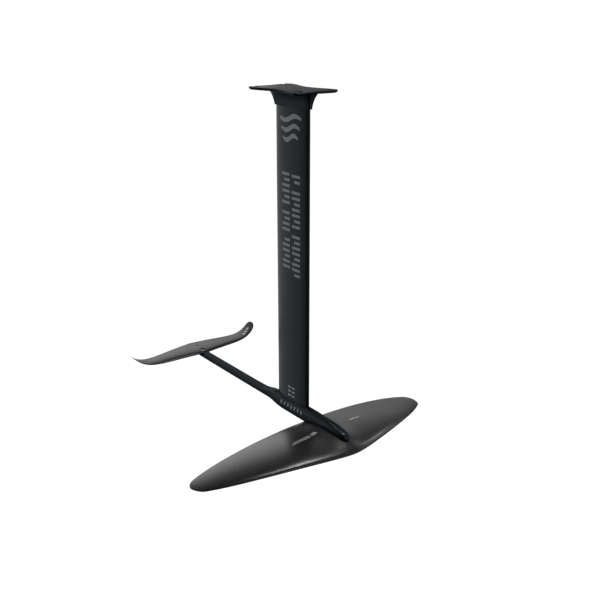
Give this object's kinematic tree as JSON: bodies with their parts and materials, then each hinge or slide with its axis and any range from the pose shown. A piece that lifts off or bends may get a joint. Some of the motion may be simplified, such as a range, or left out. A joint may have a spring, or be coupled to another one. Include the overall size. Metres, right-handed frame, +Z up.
{
  "type": "hydrofoil",
  "caption": "Hydrofoil assembly with a slotted base plate, foil-section mast, slim fuselage, swept drooping front wing and a stabiliser with upturned tips.",
  "frame": {"origin": "centre of the base plate's upper face, which lies against the board", "axes": "+Z up out of the plate, -Y the direction of travel, +X to port"},
  "size_m": [0.743, 0.7814, 0.8881],
  "materials": {
    "anodised": "satin dark anodised",
    "carbon": "matte carbon laminate",
    "bare_aluminium": "machined",
    "stainless": "brushed"
  },
  "bodies": {
    "root": {"front_wing": "carbon", "fuselage": "anodised", "mast": "anodised", "mast_bolt_front": "stainless", "mast_bolt_rear": "stainless", "mast_foot_block": "bare_aluminium", "mast_top_block": "bare_aluminium", "plate_bolt_front": "stainless", "plate_bolt_rear": "stainless", "stabiliser": "carbon", "stabiliser_bolt_front": "stainless", "stabiliser_bolt_rear": "stainless", "stabiliser_bush_front": "stainless", "stabiliser_bush_rear": "stainless", "top_plate": "anodised", "wing_bolt_front": "stainless", "wing_bolt_middle": "stainless", "wing_bolt_rear": "stainless", "wing_bush_front": "stainless", "wing_bush_middle": "stainless", "wing_bush_rear": "stainless"}
  },
  "joints": []
}
